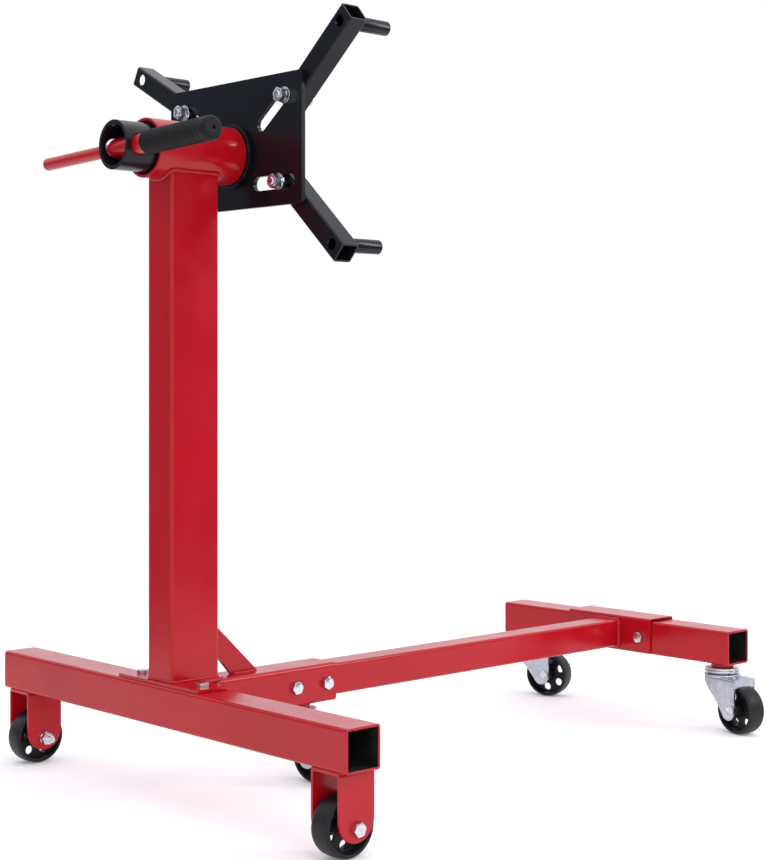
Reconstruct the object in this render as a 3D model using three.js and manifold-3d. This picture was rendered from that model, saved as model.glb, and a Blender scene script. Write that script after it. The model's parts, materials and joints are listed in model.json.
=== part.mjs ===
// Engine stand: a rolling T-shaped frame with a post, and a head that turns on the post.
// Millimetres. X runs right along the crossbeams, Y runs forward to the short beam, Z is up.
// The working frame has the floor at Z 0 and the long beam on the X axis; the whole group is then
// moved back so that the origin is the bottom centre of the bounding box.
import * as THREE from "three";
import { mergeVertices } from "three/addons/utils/BufferGeometryUtils.js";
import Module from "manifold-3d";

const wasm = await Module();
wasm.setup();

// ---------------------------------------------------------------- driving dimensions
const GAP = 0.3; // air left between pieces that touch
const FRAME_SHIFT_Y = -408.5; // from the long beam's axis to the middle of the whole length

const BEAM = 50; // square crossbeams and leg socket
const BEAM_WALL = 3;
const BEAM_CORNER = 4;
const BEAM_BOTTOM = 99.2;
const BEAM_MIDDLE = BEAM_BOTTOM + BEAM / 2;
const BEAM_TOP = BEAM_BOTTOM + BEAM;
const REAR_LENGTH = 704;
const FRONT_LENGTH = 446;
const FRONT_Y = 862;

const SOCKET_WALL = 2.5;
const SOCKET_END = 248;
const LEG = 41; // centre leg, telescoped into the socket
const LEG_START = 60;
const LEG_RISE = 1.7; // the leg is bolted up against the socket's top wall

const SADDLE_LENGTH = 162; // channel that sits over the front beam
const SADDLE_WIDTH = 56;
const SADDLE_WALL = 2.5;
const SADDLE_TOP = BEAM_TOP + 4;
const SADDLE_BOLT_X = 61;
const LEG_BOLTS_Y = [178, 230.5];

const BASE_WIDTH = 165; // T-shaped plate under the post
const BASE_THICK = 4;
const BASE_BOTTOM = BEAM_TOP + GAP;
const BASE_TOP = BASE_BOTTOM + BASE_THICK;
const BASE_BOLT_X = 62;
const BOLT_FLATS = 15; // leg and saddle bolts and wheel axles
const BASE_BOLT_FLATS = 13;

const POST_WIDTH = 50;
const POST_REAR = -18;
const POST_FRONT = 54.5;
const POST_WALL = 3;
const BRACE_THICK = 6;

const AXIS_Z = 804; // height of the turning axis
const HOUSING_R = 36.5;
const HOUSING_BORE_R = 32.5;
const HOUSING_REAR = -41;
const HOUSING_FRONT = 88.5;
const TUBE_R = 30;
const TUBE_WALL = 4;
const TUBE_REAR = -86;

const PLATE_REAR = 96.2;
const PLATE_THICK = 6;
const PLATE_FRONT = PLATE_REAR + PLATE_THICK;
const PLATE_WIDTH = 268;
const PLATE_LOW = -67.5; // plate edges above and below the axis
const PLATE_HIGH = 95;
const COLLAR_R = 40;
const SLOT_WIDTH = 17.5;
// Each slot starts at x, z from the axis and runs outwards at its angle; the left ones mirror it.
const UPPER_SLOT = { x: 56.7, z: 35.4, angle: 36.6, length: 56 };
const LOWER_SLOT = { x: 49.5, z: -38.3, angle: 0, length: 62.2 };

const ARM = 27; // square arm tube
const ARM_WALL = 2.5;
const ARM_TAIL = 15; // bolt to the inner end
const ARM_REACH = 122; // bolt to the finger
const ARM_TIP = 16; // finger to the outer end
const ARM_HOLE_R = 7.5;
const FINGER_R = 9;
const FINGER_BORE_R = 6.2;
const FINGER_LENGTH = 48;
const ARM_BOLT_R = 5;
const ARM_BOLT_REAR = 82;
const ARM_BOLT_FLATS = 16;

const HANDLE_Y = -67.4;
const HANDLE_Z = AXIS_Z - 1.7;
const HANDLE_TILT = 2.06; // degrees, up towards the grip
const HANDLE_R = 8;
const HANDLE_HOLE_R = 11.3; // loose round the bar, so drilled a little above its axis
const HANDLE_HOLE_RISE = 1.8;
const HANDLE_END = 175;
const SLEEVE_R = 12; // thick part of the bar, from inside the tube to the grip
const SLEEVE_HOLE_R = 13;
const SLEEVE_START = -21;
const GRIP_START = 47;
// Radius and place along the bar: a straight rubber sleeve, well rounded at its outer end.
const GRIP_PROFILE = [
  [14.6, GRIP_START],
  [14.3, 160],
  [14.6, 162],
  [14.6, 169],
  [13, 173],
  [9.4, HANDLE_END],
];

const WHEEL_R = 35.5;
const WHEEL_WIDTH = 30;
const WHEEL_WEB = 4;
const WHEEL_HUB = 35.5;
const WHEEL_HOLES = 6;
const WHEEL_HOLE_R = 5.8;
const WHEEL_HOLE_CIRCLE = 21.5;
const AXLE_R = 5;

const BRACKET_X = 316.2; // rigid casters under the long beam
const BRACKET_Y = 1.5;
const BRACKET_OUTER = 47.5;
const BRACKET_THICK = 3.5;
const BRACKET_DEPTH = 51.5;

const TRAIL = 38; // swivel axis to wheel axle
const FORK_WIDTH = 43;
const FORK_THICK = 3;
const FORK_TOP = 84;
const FORK_FRONT = 45.8; // swivel axis to the front of the legs
const FORK_TIP_Z = 33; // centre and radius of the rounded lower end of each leg
const FORK_TIP_R = 12.8;
const RACE_TOP = 93;
const RACE_R = 26.5;
const BOSS_R = 16.5;
const KINGPIN_R = 6;
// Each swivel caster stands at x, y with its wheel trailing at the given heading in degrees.
const SWIVELS = [
  { name: "front_right", x: 195, y: FRONT_Y, heading: -10 },
  { name: "front_left", x: -195, y: FRONT_Y, heading: 18 },
  { name: "centre", x: 0, y: 202, heading: 10 },
];
// Each arm hangs on its bolt, so far along its slot and so far off the slot's centre line
// towards its lower edge, and points at its angle from +X.
const ARMS = [
  { name: "upper_right", side: 1, slot: UPPER_SLOT, along: 55.5, drop: 2.6, angle: 40.2 },
  { name: "upper_left", side: -1, slot: UPPER_SLOT, along: 55.5, drop: 2.6, angle: 152 },
  { name: "lower_right", side: 1, slot: LOWER_SLOT, along: 41.5, drop: 0, angle: -42 },
  { name: "lower_left", side: -1, slot: LOWER_SLOT, along: 41.5, drop: 0, angle: 230 },
];

// ---------------------------------------------------------------- materials
const paint = (color, roughness, metalness) =>
  new THREE.MeshStandardMaterial({ color, roughness, metalness });
const RED = paint(0xc4202c, 0.25, 0.1);
const BLACK = paint(0x17181b, 0.2, 0.1);
const ZINC = paint(0xc9ccd0, 0.3, 0.9);
const TYRE = paint(0x2a2b2e, 0.6, 0);
const RUBBER = paint(0x1d1e20, 0.8, 0);

// ---------------------------------------------------------------- solids
const rad = THREE.MathUtils.degToRad;

function solid(geometry) {
  const plain = geometry.index ? geometry.toNonIndexed() : geometry.clone();
  plain.deleteAttribute("normal");
  plain.deleteAttribute("uv");
  const merged = mergeVertices(plain, 1e-4);
  return new wasm.Manifold(
    new wasm.Mesh({
      numProp: 3,
      vertProperties: merged.attributes.position.array,
      triVerts: new Uint32Array(merged.index.array),
    }),
  );
}

function geometryOf(body) {
  const mesh = body.getMesh();
  const geometry = new THREE.BufferGeometry();
  geometry.setAttribute("position", new THREE.BufferAttribute(mesh.vertProperties, 3));
  geometry.setIndex(new THREE.BufferAttribute(mesh.triVerts, 1));
  return geometry;
}

function box(x0, x1, y0, y1, z0, z1) {
  const geometry = new THREE.BoxGeometry(x1 - x0, y1 - y0, z1 - z0);
  return solid(geometry.translate((x0 + x1) / 2, (y0 + y1) / 2, (z0 + z1) / 2));
}

// A flat outline pushed up along Z from z0 to z1.
function extrude(shape, z0, z1, curveSegments = 2) {
  const geometry = new THREE.ExtrudeGeometry(shape, {
    depth: z1 - z0,
    bevelEnabled: false,
    curveSegments,
  });
  return solid(geometry.translate(0, 0, z0));
}

// Cylinder along Z, then turned by the caller.
function rod(radius, z0, z1, sides = 24) {
  const geometry = new THREE.CylinderGeometry(radius, radius, z1 - z0, sides);
  return solid(geometry.rotateX(Math.PI / 2).translate(0, 0, (z0 + z1) / 2));
}

function ring(outer, inner, z0, z1, sides = 32) {
  return rod(outer, z0, z1, sides).subtract(rod(inner, z0 - 1, z1 + 1, sides));
}

const alongX = (body) => body.rotate([0, 90, 0]);
const alongY = (body) => body.rotate([-90, 0, 0]);

function roundedRect(width, height, radius) {
  const w = width / 2;
  const h = height / 2;
  const shape = new THREE.Shape();
  shape.absarc(w - radius, h - radius, radius, 0, Math.PI / 2);
  shape.absarc(radius - w, h - radius, radius, Math.PI / 2, Math.PI);
  shape.absarc(radius - w, radius - h, radius, Math.PI, 1.5 * Math.PI);
  shape.absarc(w - radius, radius - h, radius, 1.5 * Math.PI, 2 * Math.PI);
  shape.closePath();
  return shape;
}

// Hollow rectangular tube along Z with rounded corners.
function tube(width, height, wall, corner, z0, z1) {
  const shape = roundedRect(width, height, corner);
  const hole = roundedRect(width - 2 * wall, height - 2 * wall, Math.max(corner - wall, 0.8));
  return extrude(shape, z0, z1).subtract(extrude(hole, z0 - 1, z1 + 1));
}

function hexagon(acrossFlats, z0, z1) {
  return rod(acrossFlats / Math.sqrt(3), z0, z1, 6);
}

// Through bolt along Z: head of the given height at the top, nut at the bottom.
function throughBolt(radius, flats, height, top, bottom, tail = 13) {
  const head = hexagon(flats, top + GAP, top + height);
  const nut = hexagon(flats, bottom - 9, bottom - GAP);
  const shank = rod(radius, bottom - tail, top + 2, 12);
  return head.add(nut).add(shank);
}

const root = new THREE.Group();
root.position.y = FRAME_SHIFT_Y;

function place(name, material, body) {
  const mesh = new THREE.Mesh(geometryOf(body), material);
  mesh.name = name;
  root.add(mesh);
}

// ---------------------------------------------------------------- base frame
function crossbeam(length, y) {
  const beam = alongX(tube(BEAM, BEAM, BEAM_WALL, BEAM_CORNER, -length / 2, length / 2));
  return beam.translate([0, y, BEAM_MIDDLE]);
}

const baseBoltHole = rod(5.6, BEAM_MIDDLE, BASE_TOP + 5, 12);
let rearBeam = crossbeam(REAR_LENGTH, 0);
let basePlate = box(-BASE_WIDTH / 2, BASE_WIDTH / 2, -22, 25, BASE_BOTTOM, BASE_TOP);
basePlate = basePlate.add(box(-28, 28, 20, 60, BASE_BOTTOM, BASE_TOP));
for (const side of [-1, 1]) {
  const hole = baseBoltHole.translate([side * BASE_BOLT_X, 1, 0]);
  rearBeam = rearBeam.subtract(hole);
  basePlate = basePlate.subtract(hole);
  const bolt = throughBolt(4, BASE_BOLT_FLATS, 4.4, BASE_TOP, BEAM_TOP - BEAM_WALL);
  const label = side > 0 ? "base_bolt_right" : "base_bolt_left";
  place(label, ZINC, bolt.translate([side * BASE_BOLT_X, 1, 0]));
}
place("rear_beam", RED, rearBeam);
place("post_base_plate", RED, basePlate);

const socketLength = SOCKET_END - BEAM / 2 - GAP;
let socket = alongY(tube(BEAM, BEAM, SOCKET_WALL, BEAM_CORNER, 0, socketLength));
socket = socket.translate([0, BEAM / 2 + GAP, BEAM_MIDDLE]);
const legEnd = FRONT_Y - SADDLE_WIDTH / 2 - GAP;
let leg = alongY(tube(LEG, LEG, BEAM_WALL, 4, LEG_START, legEnd));
leg = leg.translate([0, 0, BEAM_MIDDLE + LEG_RISE]);
LEG_BOLTS_Y.forEach((y, index) => {
  const hole = alongX(rod(5.6, -BEAM, BEAM, 12)).translate([0, y, BEAM_MIDDLE]);
  socket = socket.subtract(hole);
  leg = leg.subtract(hole);
  const bolt = alongX(throughBolt(5, BOLT_FLATS, 6.4, BEAM / 2, -BEAM / 2));
  place(`leg_bolt_${index + 1}`, ZINC, bolt.translate([0, y, BEAM_MIDDLE]));
});
place("leg_socket", RED, socket);
place("centre_leg", RED, leg);

const saddleOuter = box(
  -SADDLE_LENGTH / 2,
  SADDLE_LENGTH / 2,
  FRONT_Y - SADDLE_WIDTH / 2,
  FRONT_Y + SADDLE_WIDTH / 2,
  BEAM_BOTTOM + 1,
  SADDLE_TOP,
);
const saddleInner = box(
  -SADDLE_LENGTH,
  SADDLE_LENGTH,
  FRONT_Y - SADDLE_WIDTH / 2 + SADDLE_WALL,
  FRONT_Y + SADDLE_WIDTH / 2 - SADDLE_WALL,
  0,
  SADDLE_TOP - SADDLE_WALL,
);
let saddle = saddleOuter.subtract(saddleInner);
let frontBeam = crossbeam(FRONT_LENGTH, FRONT_Y);
for (const side of [-1, 1]) {
  const hole = alongY(rod(5.6, -BEAM, BEAM, 12)).translate([
    side * SADDLE_BOLT_X,
    FRONT_Y,
    BEAM_MIDDLE,
  ]);
  saddle = saddle.subtract(hole);
  frontBeam = frontBeam.subtract(hole);
  const half = SADDLE_WIDTH / 2;
  const bolt = throughBolt(5, BOLT_FLATS, 6.4, half, -half).rotate([90, 0, 0]);
  const label = side > 0 ? "saddle_bolt_right" : "saddle_bolt_left";
  place(label, ZINC, bolt.translate([side * SADDLE_BOLT_X, FRONT_Y, BEAM_MIDDLE]));
}
place("front_saddle", RED, saddle);
place("front_beam", RED, frontBeam);

// ---------------------------------------------------------------- post
const postDepth = POST_FRONT - POST_REAR;
const postMiddle = (POST_FRONT + POST_REAR) / 2;
const coping = alongY(rod(HOUSING_R + GAP, -200, 200, 48)).translate([0, 0, AXIS_Z]);
let post = tube(POST_WIDTH, postDepth, POST_WALL, 4, BASE_TOP + GAP, AXIS_Z - 15);
post = post.translate([0, postMiddle, 0]).subtract(coping);
place("post", RED, post);

const braceShape = new THREE.Shape();
braceShape.moveTo(POST_FRONT + GAP, 224);
braceShape.lineTo(POST_FRONT + GAP, 190);
braceShape.lineTo(91, BEAM_TOP + GAP);
braceShape.lineTo(133, BEAM_TOP + GAP);
braceShape.closePath();
const brace = extrude(braceShape, -BRACE_THICK / 2, BRACE_THICK / 2);
place("post_brace", RED, brace.rotate([90, 0, 90]));

// ---------------------------------------------------------------- casters
// Wheel with its axle along Y, centred on the origin: rounded tread, thin web with holes, hub.
function wheelBody() {
  const half = WHEEL_WIDTH / 2;
  const hub = WHEEL_HUB / 2;
  const web = WHEEL_WEB / 2;
  const side = [
    [AXLE_R + 0.4, hub],
    [9.5, hub],
    [11.5, web],
    [28.8, web],
    [29.8, half - 1.5],
    [31.5, half],
    [33.8, half - 1],
    [WHEEL_R - 0.4, half - 5],
    [WHEEL_R, half - 11],
  ];
  const mirrored = side.map(([r, t]) => [r, -t]);
  const profile = [...mirrored, ...side.reverse(), mirrored[0]];
  const points = profile.map(([r, t]) => new THREE.Vector2(r, t));
  let body = solid(new THREE.LatheGeometry(points, 24));
  for (let i = 0; i < WHEEL_HOLES; i++) {
    const angle = (i / WHEEL_HOLES) * 2 * Math.PI;
    const hole = alongY(rod(WHEEL_HOLE_R, -WHEEL_WIDTH, WHEEL_WIDTH, 8));
    const x = WHEEL_HOLE_CIRCLE * Math.cos(angle);
    const z = WHEEL_HOLE_CIRCLE * Math.sin(angle);
    body = body.subtract(hole.translate([x, 0, z]));
  }
  return body;
}
const wheel = wheelBody();

// U-bracket, built with its axle along Y like the wheel, open end down.
function rigidBracket() {
  const outer = BRACKET_OUTER / 2;
  const inner = outer - BRACKET_THICK;
  const top = BEAM_BOTTOM - GAP;
  const half = BRACKET_DEPTH / 2;
  const shape = new THREE.Shape();
  const bend = WHEEL_R + 10;
  shape.moveTo(-half, top);
  shape.lineTo(-half, bend);
  shape.absarc(0, bend, half, Math.PI, 2 * Math.PI);
  shape.lineTo(half, top);
  shape.closePath();
  const block = extrude(shape, -outer, outer, 8).rotate([90, 0, 0]);
  const channel = box(-half - 1, half + 1, -inner, inner, -1, top - BRACKET_THICK);
  const axleHole = alongY(rod(AXLE_R + 0.5, -outer - 1, outer + 1, 12));
  return block.subtract(channel).subtract(axleHole.translate([0, 0, WHEEL_R]));
}

for (const side of [-1, 1]) {
  const label = side > 0 ? "right" : "left";
  const seat = (body) =>
    body.rotate([0, 0, -90 * side]).translate([side * BRACKET_X, BRACKET_Y, 0]);
  const outer = BRACKET_OUTER / 2;
  const bolt = throughBolt(AXLE_R, BOLT_FLATS, 6.4, outer, -outer, 19).rotate([-90, 0, 0]);
  place(`rear_bracket_${label}`, RED, seat(rigidBracket()));
  place(`rear_wheel_${label}`, TYRE, seat(wheel.translate([0, 0, WHEEL_R])));
  place(`rear_axle_${label}`, ZINC, seat(bolt.translate([0, 0, WHEEL_R])));
}

// Pressed swivel fork: legs seen from the side, a cover plate over the wheel and a front lip.
function forkBody() {
  const half = FORK_WIDTH / 2;
  const shape = new THREE.Shape();
  shape.moveTo(-15, FORK_TOP);
  shape.lineTo(-15, 73);
  shape.lineTo(-7, 61);
  shape.lineTo(8, 46);
  shape.absarc(
    FORK_FRONT - FORK_TIP_R,
    FORK_TIP_Z,
    FORK_TIP_R,
    1.12 * Math.PI,
    2 * Math.PI,
  );
  shape.lineTo(FORK_FRONT, FORK_TOP);
  shape.closePath();
  const block = extrude(shape, -half, half, 6).rotate([90, 0, 0]);
  const inside = half - FORK_THICK;
  const front = FORK_FRONT - FORK_THICK;
  const clear = box(-60, front, -inside, inside, 0, FORK_TOP - FORK_THICK);
  const lip = box(front - 1, front + 10, -inside, inside, 0, WHEEL_R * 2 + 1);
  const disc = rod(RACE_R, FORK_TOP - FORK_THICK, FORK_TOP, 24);
  const kingpin = rod(KINGPIN_R, FORK_TOP - 1, BEAM_BOTTOM - 4, 12);
  const axleHole = alongY(rod(AXLE_R + 0.5, -half - 1, half + 1, 12));
  const body = block.subtract(clear).subtract(lip).add(disc).add(kingpin);
  return body.subtract(axleHole.translate([TRAIL, 0, WHEEL_R]));
}

function rivetBody() {
  const half = FORK_WIDTH / 2;
  const shank = rod(AXLE_R, -half - 2, half + 2, 12);
  const heads = rod(7.5, half + GAP, half + 3, 16).add(rod(7.5, -half - 3, -half - GAP, 16));
  return alongY(shank.add(heads)).translate([TRAIL, 0, WHEEL_R]);
}

for (const { name, x, y, heading } of SWIVELS) {
  const seat = (body) => body.rotate([0, 0, heading]).translate([x, y, 0]);
  const bore = rod(KINGPIN_R + 0.5, 0, BEAM_BOTTOM - 3, 12);
  const boss = rod(BOSS_R, RACE_TOP + GAP, BEAM_BOTTOM - GAP, 24).subtract(bore);
  const race = rod(RACE_R, FORK_TOP + GAP, RACE_TOP, 24).subtract(bore);
  place(`${name}_boss`, RED, seat(boss));
  place(`${name}_race`, ZINC, seat(race));
  place(`${name}_fork`, ZINC, seat(forkBody()));
  place(`${name}_axle`, ZINC, seat(rivetBody()));
  place(`${name}_wheel`, TYRE, seat(wheel.translate([TRAIL, 0, WHEEL_R])));
}

// ---------------------------------------------------------------- head
const onAxis = (body) => alongY(body).translate([0, 0, AXIS_Z]);
const handleSeat = (body) =>
  alongX(body).rotate([0, -HANDLE_TILT, 0]).translate([0, HANDLE_Y, HANDLE_Z]);
const housing = ring(HOUSING_R, HOUSING_BORE_R, HOUSING_REAR, HOUSING_FRONT, 36);
place("head_housing", RED, onAxis(housing));

const thinHole = handleSeat(rod(HANDLE_HOLE_R, -60, 0, 20)).translate([0, 0, HANDLE_HOLE_RISE]);
const sleeveHole = handleSeat(rod(SLEEVE_HOLE_R, 0, 60, 20));
const tubeBlank = onAxis(ring(TUBE_R, TUBE_R - TUBE_WALL, TUBE_REAR, PLATE_REAR - GAP, 32));
place("turning_tube", BLACK, tubeBlank.subtract(thinHole).subtract(sleeveHole));
const collar = ring(COLLAR_R, TUBE_R + 2 * GAP, HOUSING_FRONT + 1, PLATE_REAR - GAP, 32);
place("thrust_collar", BLACK, onAxis(collar));

// Point of the plate that lies so far along a slot and so far below its centre line.
function slotPoint({ x, z, angle }, side, along, drop = 0) {
  const cos = Math.cos(rad(angle));
  const sin = Math.sin(rad(angle));
  return [side * (x + along * cos + drop * sin), z + along * sin - drop * cos];
}

function slotCutter(slot, side) {
  const r = SLOT_WIDTH / 2;
  const shape = new THREE.Shape();
  shape.absarc(0, 0, r, Math.PI / 2, 1.5 * Math.PI);
  shape.absarc(slot.length, 0, r, -Math.PI / 2, Math.PI / 2);
  shape.closePath();
  const angle = side > 0 ? slot.angle : 180 - slot.angle;
  const cutter = extrude(shape, -PLATE_THICK, PLATE_THICK, 4).rotate([0, 0, angle]);
  return cutter.translate([...slotPoint(slot, side, 0), 0]);
}

const plateShape = roundedRect(PLATE_WIDTH, PLATE_HIGH - PLATE_LOW, 3);
let plate = extrude(plateShape, -PLATE_THICK / 2, PLATE_THICK / 2);
plate = plate.translate([0, (PLATE_HIGH + PLATE_LOW) / 2, 0]);
for (const { slot, side } of ARMS) {
  plate = plate.subtract(slotCutter(slot, side));
}
plate = plate.rotate([90, 0, 0]).translate([0, PLATE_REAR + PLATE_THICK / 2, AXIS_Z]);
place("head_plate", BLACK, plate);

// ---------------------------------------------------------------- arms
const armRear = PLATE_FRONT + GAP;
const armFront = armRear + ARM;
for (const { name, side, slot, along, drop, angle } of ARMS) {
  // Built along X with the bolt on the Y axis, then swung round it to its angle.
  const [x, z] = slotPoint(slot, side, along, drop);
  const seat = (body) => body.rotate([0, -angle, 0]).translate([x, 0, AXIS_Z + z]);
  const length = [-ARM_TAIL, ARM_REACH + ARM_TIP];
  let arm = alongX(tube(ARM, ARM, ARM_WALL, 3, ...length));
  arm = arm.translate([0, armRear + ARM / 2, 0]);
  const boltHole = alongY(rod(ARM_BOLT_R + 0.5, 0, 300, 12));
  const reachHole = alongY(rod(ARM_HOLE_R, 0, armFront - ARM_WALL - 1, 12));
  const fingerHole = alongY(rod(FINGER_BORE_R, 0, 300, 12));
  arm = arm.subtract(boltHole).subtract(reachHole.translate([ARM_REACH, 0, 0]));
  arm = arm.subtract(fingerHole.translate([ARM_REACH, 0, 0]));
  place(`arm_${name}`, BLACK, seat(arm));

  const fingerStart = armFront + GAP;
  const finger = ring(FINGER_R, FINGER_BORE_R, fingerStart, fingerStart + FINGER_LENGTH, 20);
  place(`finger_${name}`, BLACK, seat(alongY(finger).translate([ARM_REACH, 0, 0])));

  const head = hexagon(ARM_BOLT_FLATS, armFront + GAP, armFront + 6.7);
  const shank = rod(ARM_BOLT_R, ARM_BOLT_REAR, armFront + 4, 12);
  place(`arm_bolt_${name}`, ZINC, seat(alongY(head.add(shank))));

  const washers = rod(10.5, PLATE_REAR - 4.6, PLATE_REAR - GAP, 16);
  const nut = hexagon(ARM_BOLT_FLATS, PLATE_REAR - 12.6, PLATE_REAR - 4).add(washers);
  const nutBore = rod(ARM_BOLT_R + 0.5, 0, 200, 12);
  place(`arm_nut_${name}`, ZINC, seat(alongY(nut.subtract(nutBore))));
}

// ---------------------------------------------------------------- handle
const bar = rod(HANDLE_R, -HANDLE_END + 2, HANDLE_END - 4, 20)
  .add(rod(HANDLE_R - 2, -HANDLE_END, HANDLE_END - 4, 20))
  .add(rod(SLEEVE_R, SLEEVE_START, GRIP_START - GAP, 20));
place("handle_bar", RED, handleSeat(bar));
const gripBore = rod(HANDLE_R + GAP, GRIP_START - 1, HANDLE_END - 3, 20);
const gripPoints = [[0, GRIP_START], ...GRIP_PROFILE, [0, HANDLE_END]];
const gripBlank = new THREE.LatheGeometry(
  gripPoints.map(([r, t]) => new THREE.Vector2(r, t)),
  24,
);
const grip = solid(gripBlank).rotate([90, 0, 0]).subtract(gripBore);
place("handle_grip", RUBBER, handleSeat(grip));

export default root;
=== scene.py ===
"""Engine stand: the visible surfaces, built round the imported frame.

Lengths are millimetres in a working frame with the floor at Z 0 and the long beam on the X axis;
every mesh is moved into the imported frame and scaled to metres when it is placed.
"""
import json
import math
import bmesh
import bpy
from mathutils import Matrix, Vector


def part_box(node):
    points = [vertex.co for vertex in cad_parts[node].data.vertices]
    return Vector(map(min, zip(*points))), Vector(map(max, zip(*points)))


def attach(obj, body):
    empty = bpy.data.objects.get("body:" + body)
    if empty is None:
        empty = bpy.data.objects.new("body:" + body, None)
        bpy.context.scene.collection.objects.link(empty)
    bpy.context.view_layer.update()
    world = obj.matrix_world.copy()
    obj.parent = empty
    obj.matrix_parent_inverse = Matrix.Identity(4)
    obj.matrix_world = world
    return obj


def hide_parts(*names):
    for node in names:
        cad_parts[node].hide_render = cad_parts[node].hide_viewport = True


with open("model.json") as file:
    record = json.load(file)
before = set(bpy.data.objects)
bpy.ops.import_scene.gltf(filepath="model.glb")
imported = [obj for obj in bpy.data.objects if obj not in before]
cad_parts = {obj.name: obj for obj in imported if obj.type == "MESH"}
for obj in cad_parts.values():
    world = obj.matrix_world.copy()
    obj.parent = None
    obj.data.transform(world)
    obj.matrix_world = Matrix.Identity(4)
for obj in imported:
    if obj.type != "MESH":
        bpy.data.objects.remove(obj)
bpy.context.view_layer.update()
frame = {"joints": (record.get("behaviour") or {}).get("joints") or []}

MM = 0.001
joints = {j["name"]: j for j in frame["joints"]}


def box_mm(node):
    low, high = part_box(node)
    return low / MM, high / MM


beam_low, beam_high = box_mm("rear_beam")
SHIFT = (beam_low.y + beam_high.y) / 2
TO_FRAME = Matrix.Scale(MM, 4) @ Matrix.Translation((0, SHIFT, 0))


def local_box(node):
    """A node's lowest and highest corners in the working frame."""
    low, high = box_mm(node)
    return low - Vector((0, SHIFT, 0)), high - Vector((0, SHIFT, 0))


def joint_place(name):
    """A joint's point in the working frame."""
    return Vector(joints[name]["pos_m"]) / MM - Vector((0, SHIFT, 0))


# ------------------------------------------------------------------ materials
def shader(name, base, rough, metallic=0.0, ior=1.4):
    material = bpy.data.materials.new(name)
    material.use_nodes = True
    tree = material.node_tree
    bsdf = tree.nodes["Principled BSDF"]
    bsdf.inputs["Base Color"].default_value = (*base, 1)
    bsdf.inputs["Roughness"].default_value = rough
    bsdf.inputs["Metallic"].default_value = metallic
    bsdf.inputs["IOR"].default_value = ior
    coords = tree.nodes.new("ShaderNodeTexCoord")
    return material, tree, bsdf, coords


def noise(tree, coords, scale, detail=3.0, roughness=0.55):
    node = tree.nodes.new("ShaderNodeTexNoise")
    node.inputs["Scale"].default_value = scale
    node.inputs["Detail"].default_value = detail
    node.inputs["Roughness"].default_value = roughness
    tree.links.new(coords.outputs["Object"], node.inputs["Vector"])
    return node


def remap(tree, source, low, high, from_low=0.3, from_high=0.7):
    """The source's values, spread from one range to another. Noise is mostly between 0.3 and 0.7."""
    node = tree.nodes.new("ShaderNodeMapRange")
    node.inputs["From Min"].default_value = from_low
    node.inputs["From Max"].default_value = from_high
    node.inputs["To Min"].default_value = low
    node.inputs["To Max"].default_value = high
    tree.links.new(source, node.inputs["Value"])
    return node.outputs["Result"]


def mix_colour(tree, factor, a, b):
    node = tree.nodes.new("ShaderNodeMix")
    node.data_type = "RGBA"
    node.inputs["A"].default_value = (*a, 1)
    node.inputs["B"].default_value = (*b, 1)
    tree.links.new(factor, node.inputs["Factor"])
    return node.outputs["Result"]


def bump(tree, bsdf, height, strength, distance, below=None):
    node = tree.nodes.new("ShaderNodeBump")
    node.inputs["Strength"].default_value = strength
    node.inputs["Distance"].default_value = distance
    tree.links.new(height, node.inputs["Height"])
    if below is not None:
        tree.links.new(below, node.inputs["Normal"])
    tree.links.new(node.outputs["Normal"], bsdf.inputs["Normal"])
    return node.outputs["Normal"]


def paint(name, dark, light, rough_low, rough_high, peel, ior):
    """Powder coat: broad colour drift, fine orange peel and a slightly uneven gloss."""
    material, tree, bsdf, coords = shader(name, light, rough_low, ior=ior)
    drift = noise(tree, coords, 7, 3)
    colour = mix_colour(tree, remap(tree, drift.outputs["Fac"], 0, 1), dark, light)
    tree.links.new(colour, bsdf.inputs["Base Color"])
    haze = noise(tree, coords, 22, 3)
    tree.links.new(
        remap(tree, haze.outputs["Fac"], rough_low, rough_high), bsdf.inputs["Roughness"]
    )
    wave = noise(tree, coords, 110, 1)
    fine = noise(tree, coords, 420, 1)
    swell = bump(tree, bsdf, wave.outputs["Fac"], peel, 0.0008)
    bump(tree, bsdf, fine.outputs["Fac"], peel, 0.00012, swell)
    return material


def metal(name, dark, light, rough_low, rough_high, grain_scale, grain):
    """Plated steel: cloudy crystals in colour and gloss, with a fine grain."""
    material, tree, bsdf, coords = shader(name, light, rough_low, metallic=1.0)
    cloud = noise(tree, coords, grain_scale, 5, 0.6)
    colour = mix_colour(tree, remap(tree, cloud.outputs["Fac"], 0, 1), dark, light)
    tree.links.new(colour, bsdf.inputs["Base Color"])
    smear = noise(tree, coords, grain_scale * 2.3, 4, 0.6)
    tree.links.new(
        remap(tree, smear.outputs["Fac"], rough_low, rough_high), bsdf.inputs["Roughness"]
    )
    fine = noise(tree, coords, 900, 3)
    bump(tree, bsdf, fine.outputs["Fac"], grain, 0.0002)
    return material


def polymer(name, dark, light, rough_low, rough_high, grain_scale, grain):
    """Moulded plastic or rubber: fine pebble grain and slightly scuffed gloss."""
    material, tree, bsdf, coords = shader(name, light, rough_low, ior=1.3)
    cloud = noise(tree, coords, 40, 5, 0.6)
    colour = mix_colour(tree, remap(tree, cloud.outputs["Fac"], 0, 1), dark, light)
    tree.links.new(colour, bsdf.inputs["Base Color"])
    tree.links.new(
        remap(tree, cloud.outputs["Fac"], rough_low, rough_high), bsdf.inputs["Roughness"]
    )
    pebble = noise(tree, coords, grain_scale, 2)
    bump(tree, bsdf, pebble.outputs["Fac"], grain, 0.0003)
    return material


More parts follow.
